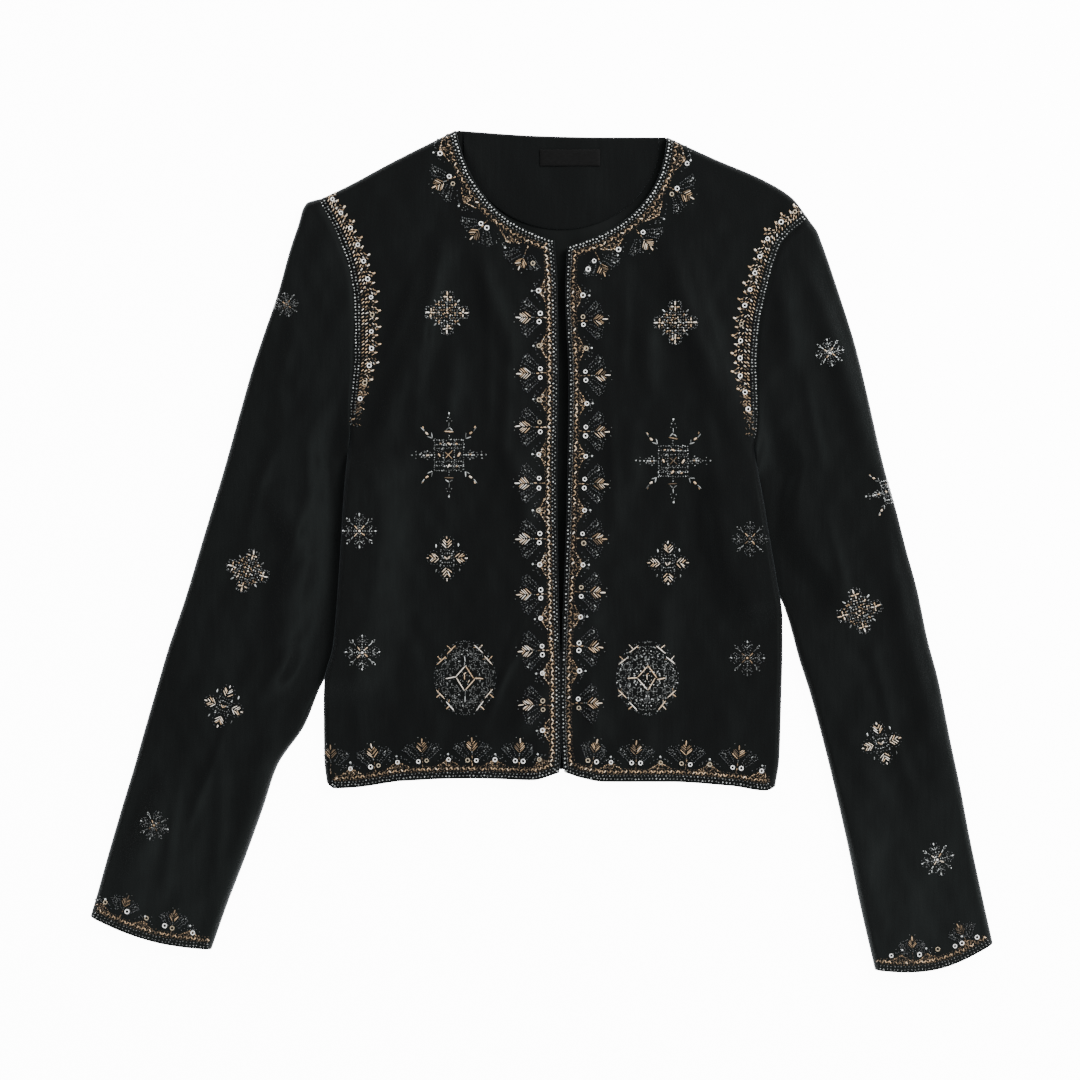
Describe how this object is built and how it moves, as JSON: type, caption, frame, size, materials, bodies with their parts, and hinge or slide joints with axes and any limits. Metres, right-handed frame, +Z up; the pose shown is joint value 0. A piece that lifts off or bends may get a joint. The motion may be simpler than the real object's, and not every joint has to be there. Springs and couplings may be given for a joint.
{
  "type": "cropped velvet jacket",
  "caption": "Cropped, collarless, open-fronted velvet jacket with long sleeves, laid flat on its back; a hollow cloth shell with open neck, hem and cuffs.",
  "frame": {"origin": "on the surface the jacket lies on, under the middle of its outline", "axes": "+X to the wearer's left, +Y towards the neck, +Z up from the surface, out of the fronts"},
  "size_m": [0.7226, 0.673, 0.0165],
  "materials": {
    "velvet": "near-black cotton velvet, short nap, cool grazing sheen",
    "facing": "black velvet neck facing and plain woven lining",
    "label": "blank black woven label",
    "thread": "champagne gold embroidery thread",
    "beads": "silvery and dark seed beads and cup sequins"
  },
  "bodies": {
    "root": {"back": "velvet", "front_right": "velvet", "front_left": "velvet", "sleeve_right_top": "velvet", "sleeve_right_under": "velvet", "sleeve_left_top": "velvet", "sleeve_left_under": "velvet", "back_neck_facing": "facing", "neck_label": "label"}
  },
  "joints": []
}
